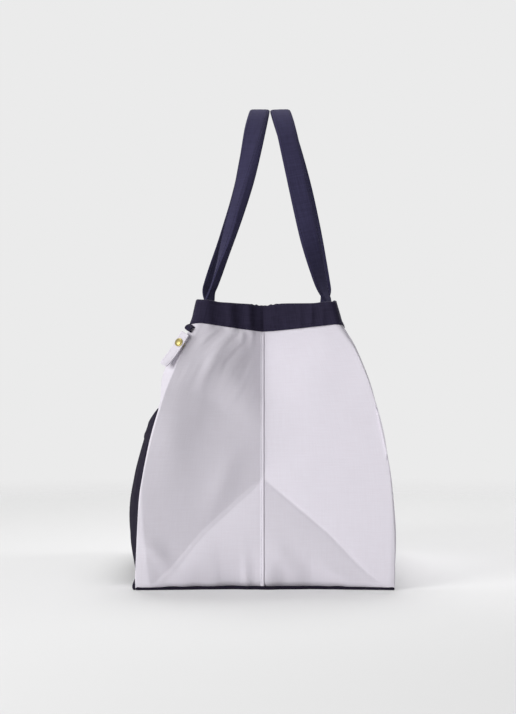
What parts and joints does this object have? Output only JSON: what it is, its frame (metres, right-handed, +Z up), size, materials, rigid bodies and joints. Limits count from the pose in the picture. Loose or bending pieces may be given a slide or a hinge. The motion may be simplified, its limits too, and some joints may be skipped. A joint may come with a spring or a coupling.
{
  "type": "shopper bag",
  "caption": "Open-topped canvas shopper with a flat base, folded ends, bound rim, strap handle loops that swing out, a patch pocket and a snap tab on the front.",
  "frame": {"origin": "on the floor under the middle of the base panel, at the middle of the bag's length and depth", "axes": "+Z up, +X along the bag's length towards the end with the snap tab, -Y to the front with the pocket"},
  "size_m": [0.4584, 0.3263, 0.5813],
  "materials": {
    "pale_canvas": "matt plain-weave canvas",
    "navy_canvas": "matt plain-weave canvas",
    "navy_tape": "fine twill tape with a slight sheen",
    "navy_strap": "folded and stitched canvas strap",
    "brass_snap": "polished, lightly worn"
  },
  "bodies": {
    "bag": {"base_panel": "navy_canvas", "front_panel": "pale_canvas", "back_panel": "pale_canvas", "front_binding": "navy_tape", "back_binding": "navy_tape", "right_side_seam": "pale_canvas", "left_side_seam": "pale_canvas", "front_pocket": "navy_canvas", "front_handle_right_end": "navy_strap", "front_handle_left_end": "navy_strap", "back_handle_right_end": "navy_strap", "back_handle_left_end": "navy_strap", "tab_keeper": "navy_tape", "snap_stud": "brass_snap", "snap_backing": "brass_snap"},
    "front_loop": {"front_handle": "navy_strap"},
    "back_loop": {"back_handle": "navy_strap"},
    "tab": {"snap_tab": "pale_canvas", "snap_cap": "brass_snap", "snap_socket": "brass_snap"}
  },
  "joints": [
    {"name": "front_handle_swing", "type": "hinge", "parent": "bag", "child": "front_loop", "pos_m": [0, -0.0787, 0.3368], "axis": [1, 0, 0], "range_deg": [0, 120]},
    {"name": "back_handle_swing", "type": "hinge", "parent": "bag", "child": "back_loop", "pos_m": [0, 0.0922, 0.3368], "axis": [-1, 0, 0], "range_deg": [0, 120]},
    {"name": "snap_tab_lift", "type": "hinge", "parent": "bag", "child": "tab", "pos_m": [0.22559, -0.08581, 0.29628], "axis": [-0.5097, -0.7377, 0.4429], "range_deg": [0, 90]}
  ]
}
